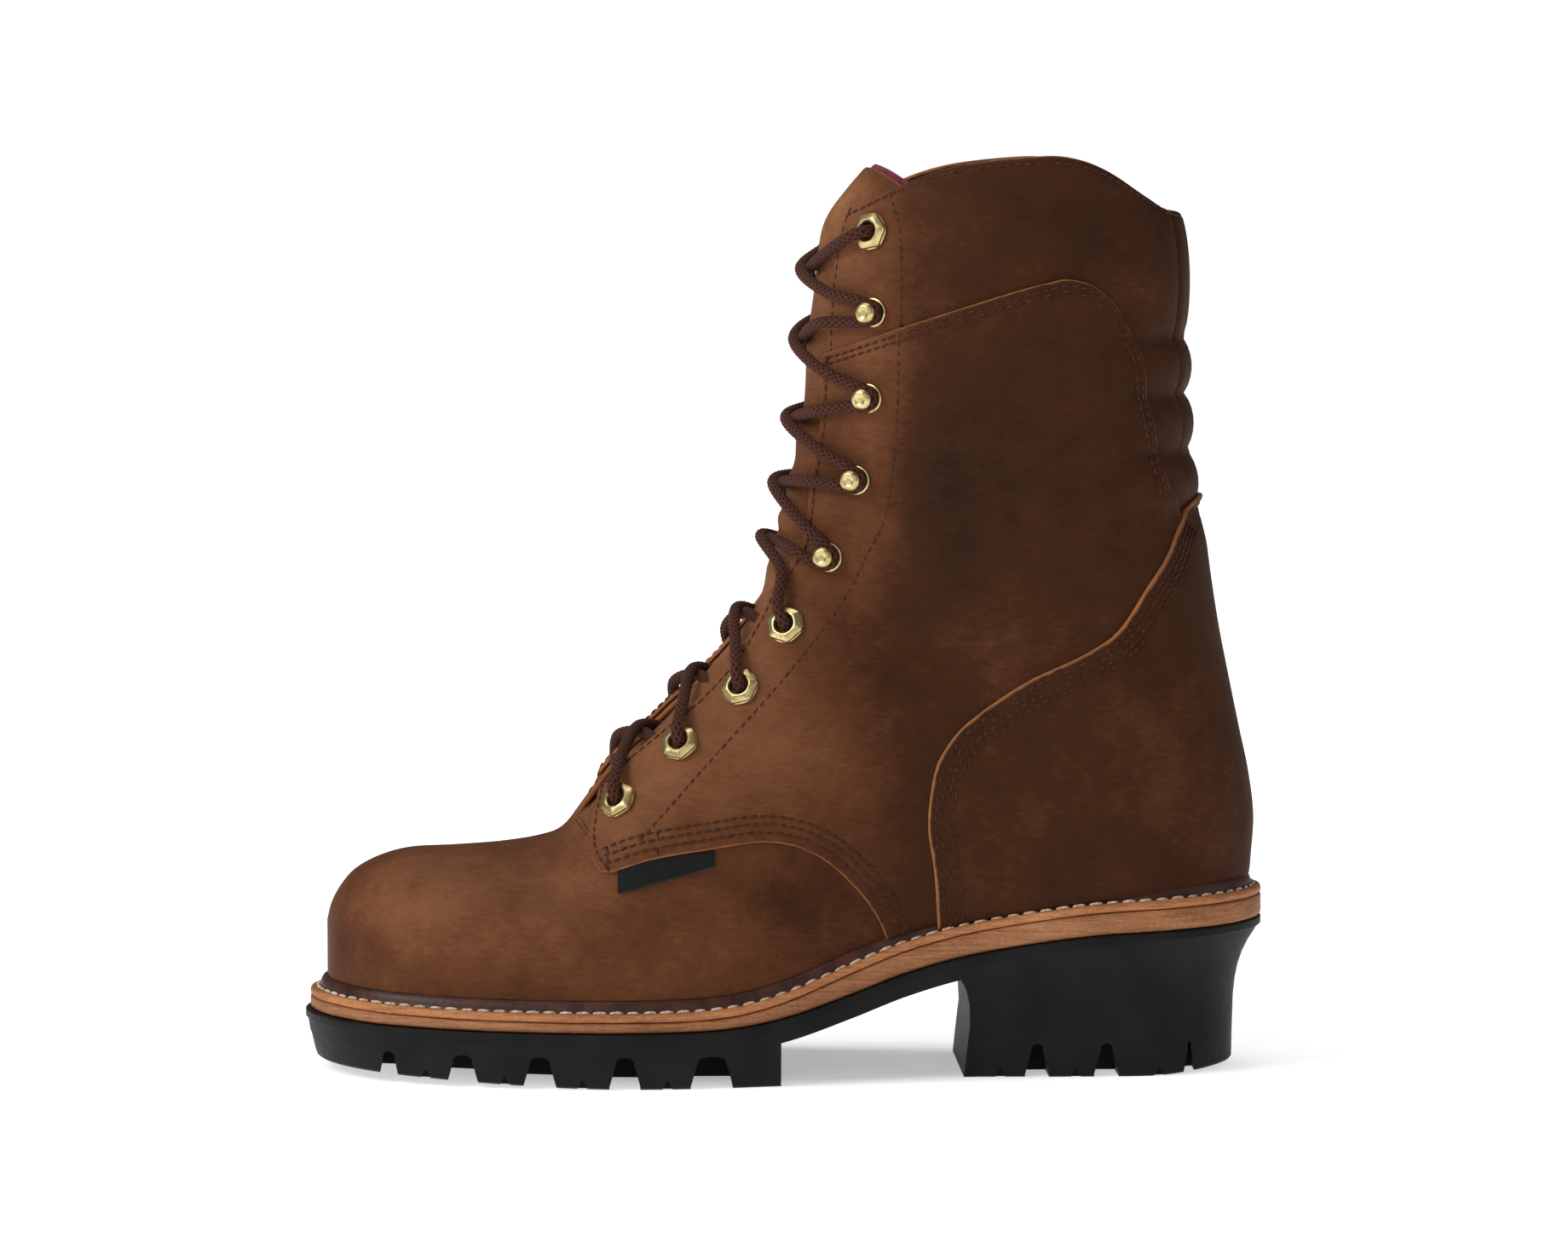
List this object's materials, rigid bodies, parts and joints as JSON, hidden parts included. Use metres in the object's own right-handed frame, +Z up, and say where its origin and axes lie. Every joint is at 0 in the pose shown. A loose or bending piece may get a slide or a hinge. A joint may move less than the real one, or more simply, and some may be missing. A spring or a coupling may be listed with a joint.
{
  "type": "lace-up logger work boot",
  "caption": "Left lace-up logger work boot: leather shaft with padded collar, brass eyelets and speed hooks, stitched welt and a lugged rubber sole with a high flared heel.",
  "frame": {"origin": "on the floor under the middle of the heel, in the mid-plane of the last's heel", "axes": "+X to the toe, +Y to the outer side of the foot, +Z up"},
  "size_m": [0.3173, 0.1168, 0.3018],
  "materials": {
    "rubber": "matt",
    "sole_leather": "satin",
    "insole_board": "matt",
    "upper_leather": "waxed satin",
    "tongue_leather": "matt",
    "lining_cloth": "matt",
    "label_cloth": "matt",
    "brass": "satin",
    "lace_cord": "matt"
  },
  "bodies": {
    "root": {"outsole": "rubber", "midsole": "sole_leather", "welt": "sole_leather", "insole": "insole_board", "upper": "upper_leather", "quarter_outer": "upper_leather", "quarter_inner": "upper_leather", "heel_counter": "upper_leather", "tongue": "tongue_leather", "tongue_lining": "lining_cloth", "side_label": "label_cloth", "eyelet_outer_1": "brass", "eyelet_outer_2": "brass", "eyelet_outer_3": "brass", "eyelet_outer_4": "brass", "hook_outer_5": "brass", "hook_outer_6": "brass", "hook_outer_7": "brass", "hook_outer_8": "brass", "eyelet_outer_9": "brass", "eyelet_inner_1": "brass", "eyelet_inner_2": "brass", "eyelet_inner_3": "brass", "eyelet_inner_4": "brass", "hook_inner_5": "brass", "hook_inner_6": "brass", "hook_inner_7": "brass", "hook_inner_8": "brass", "eyelet_inner_9": "brass", "lace_crossing_1": "lace_cord", "lace_crossing_2": "lace_cord", "lace_crossing_3": "lace_cord", "lace_crossing_4": "lace_cord", "lace_crossing_5": "lace_cord", "lace_crossing_6": "lace_cord", "lace_crossing_7": "lace_cord", "lace_crossing_8": "lace_cord"}
  },
  "joints": []
}
